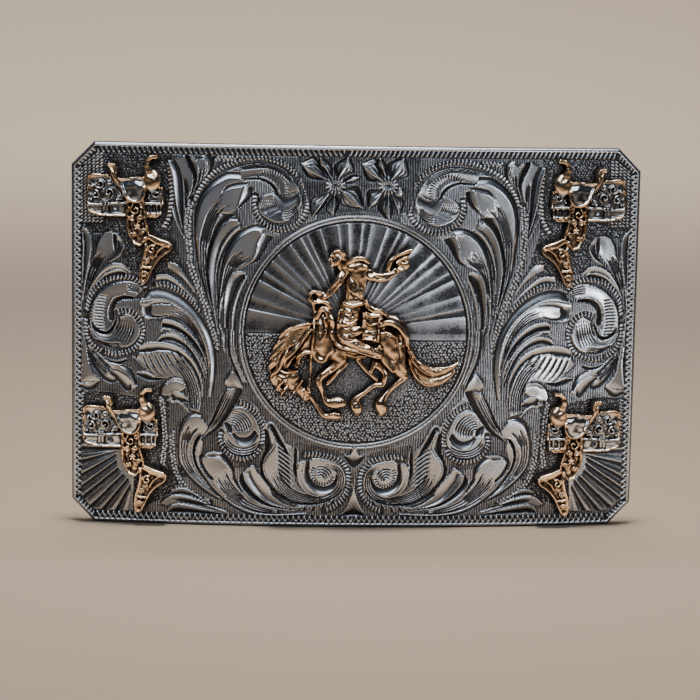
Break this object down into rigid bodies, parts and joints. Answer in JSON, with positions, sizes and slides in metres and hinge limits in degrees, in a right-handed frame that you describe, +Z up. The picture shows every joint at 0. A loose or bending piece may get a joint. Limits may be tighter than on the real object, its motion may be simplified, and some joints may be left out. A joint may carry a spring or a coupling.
{
  "type": "belt buckle",
  "caption": "Rectangular Western dress buckle: curved engraved face, cast rider and saddle ornaments, swinging strap bail and fixed belt hook at the back.",
  "frame": {"origin": "middle of the face sheet's bottom edge, halfway through that sheet's thickness", "axes": "+X to the right of someone who looks at the carved face, +Z up, the carved face looks along -Y"},
  "size_m": [0.089, 0.0169, 0.06],
  "materials": {
    "antiqued_silver": "satin",
    "plain_silver": "satin",
    "gold_casting": "satin",
    "two_tone_casting": "satin",
    "nickel_fitting": "satin",
    "nickel_wire": "polished",
    "rivet_metal": "satin"
  },
  "bodies": {
    "plate": {"face_plate": "antiqued_silver", "back_plate": "plain_silver", "bronc_rider": "gold_casting", "saddle_upper_left": "two_tone_casting", "saddle_upper_right": "two_tone_casting", "saddle_lower_left": "two_tone_casting", "saddle_lower_right": "two_tone_casting", "hinge_leaf": "nickel_fitting", "hinge_rivets": "rivet_metal", "hook_base": "nickel_fitting", "hook_prong": "nickel_wire", "hook_rivets": "rivet_metal"},
    "bail": {"bail": "nickel_wire"}
  },
  "joints": [
    {"name": "bail_hinge", "type": "hinge", "parent": "plate", "child": "bail", "pos_m": [-0.033, 0.00647, 0.03], "axis": [0, 0, 1], "range_deg": [-8, 176]}
  ]
}
